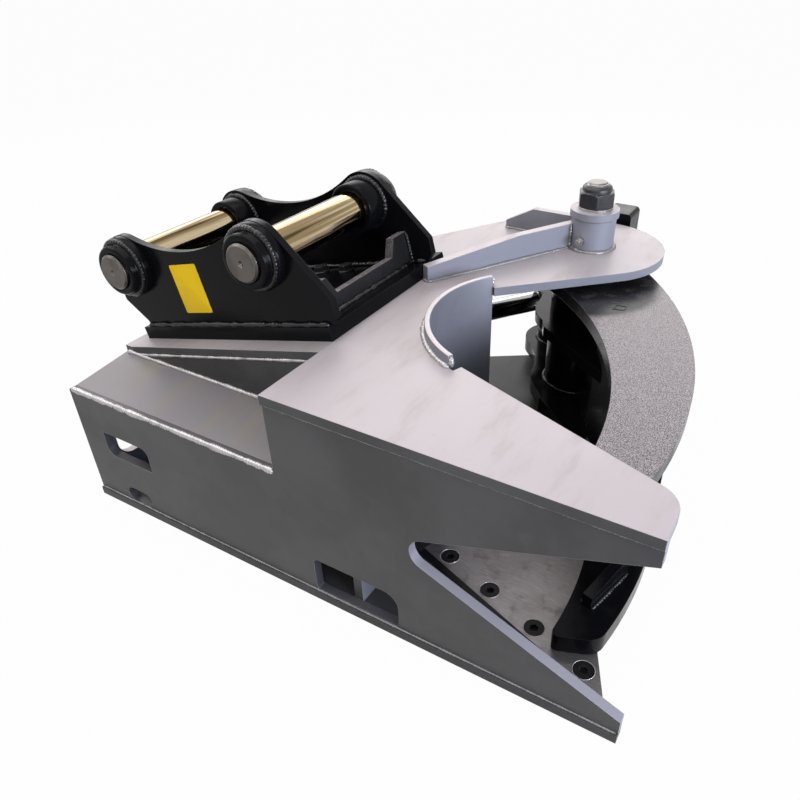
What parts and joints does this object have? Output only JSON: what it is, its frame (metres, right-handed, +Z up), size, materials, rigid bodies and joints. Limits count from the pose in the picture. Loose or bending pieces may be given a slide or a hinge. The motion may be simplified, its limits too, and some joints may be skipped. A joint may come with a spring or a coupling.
{
  "type": "excavator tree shear",
  "caption": "Welded tree shear for an excavator: deep throat with a bolted fixed blade, a curved jaw closed by a hydraulic cylinder, and a two-pin hitch.",
  "frame": {"origin": "on the floor, under the middle of the hitch's front edge", "axes": "+X towards the prong tips, +Y away from the side wall towards the pivot, +Z up"},
  "size_m": [1.3634, 1.2269, 0.6873],
  "materials": {
    "body_paint": "satin grey paint",
    "black_paint": "gloss black paint",
    "bare_steel": "turned steel",
    "ground_steel": "ground and lightly stained",
    "dark_steel": "black oxide",
    "yellow_zinc": "yellow zinc plating",
    "hard_chrome": "polished",
    "bronze": "turned bronze",
    "cylinder_paint": "gloss dark grey paint"
  },
  "bodies": {
    "frame": {"bottom_plate": "body_paint", "side_wall": "body_paint", "top_plate": "body_paint", "shoulder_plate": "body_paint", "inner_web": "body_paint", "step_wall": "body_paint", "mid_wall": "body_paint", "front_web": "body_paint", "mount_plate": "body_paint", "throat_wall": "body_paint", "rear_wall": "body_paint", "far_wall": "body_paint", "near_rib": "body_paint", "far_rib": "body_paint", "pivot_boss": "body_paint", "pivot_collar": "body_paint", "lower_boss": "body_paint", "base_bosses": "body_paint", "hitch_base": "black_paint", "near_ear": "black_paint", "far_ear": "black_paint", "pin_collars": "black_paint", "cross_plate": "black_paint", "pivot_pin": "bare_steel", "pivot_washer": "bare_steel", "lock_bolt": "bare_steel", "base_pin": "bare_steel", "fixed_blade": "ground_steel", "pivot_nut": "dark_steel", "blade_bolts": "dark_steel", "hitch_bolts": "dark_steel", "front_pin": "yellow_zinc", "rear_pin": "yellow_zinc"},
    "jaw": {"jaw_upper_plate": "black_paint", "jaw_blade": "black_paint", "jaw_wall": "black_paint", "jaw_rib": "black_paint", "jaw_gussets": "black_paint", "hub_tube": "black_paint", "hub_bushes": "bronze", "thrust_ring": "bare_steel", "lever_plate": "black_paint", "pin_boss": "black_paint", "lever_pin": "bare_steel", "jaw_stop": "black_paint"},
    "rod": {"rod_eye": "bare_steel", "piston_rod": "hard_chrome", "piston": "bare_steel"},
    "barrel": {"cylinder_barrel": "cylinder_paint", "cylinder_gland": "cylinder_paint", "base_eye": "cylinder_paint", "port_bosses": "cylinder_paint"}
  },
  "joints": [
    {"name": "jaw_pivot", "type": "hinge", "parent": "frame", "child": "jaw", "pos_m": [0.26, 0.516, 0.25], "axis": [0, 0, 1], "range_deg": [-20, 40]},
    {"name": "rod_swivel", "type": "hinge", "parent": "jaw", "child": "rod", "pos_m": [0.125, 0.712, 0.234], "axis": [0, 0, 1], "range_deg": [-38, 19.5]},
    {"name": "barrel_slide", "type": "slide", "parent": "rod", "child": "barrel", "axis": [0.5736, 0.8192, 0], "range_m": [-0.08, 0.16]}
  ],
  "couplings": [
    {"joint": "rod_swivel", "follows": "jaw_pivot", "ratio": -0.9392},
    {"joint": "barrel_slide", "follows": "jaw_pivot", "m_per_rad": 0.22643}
  ]
}
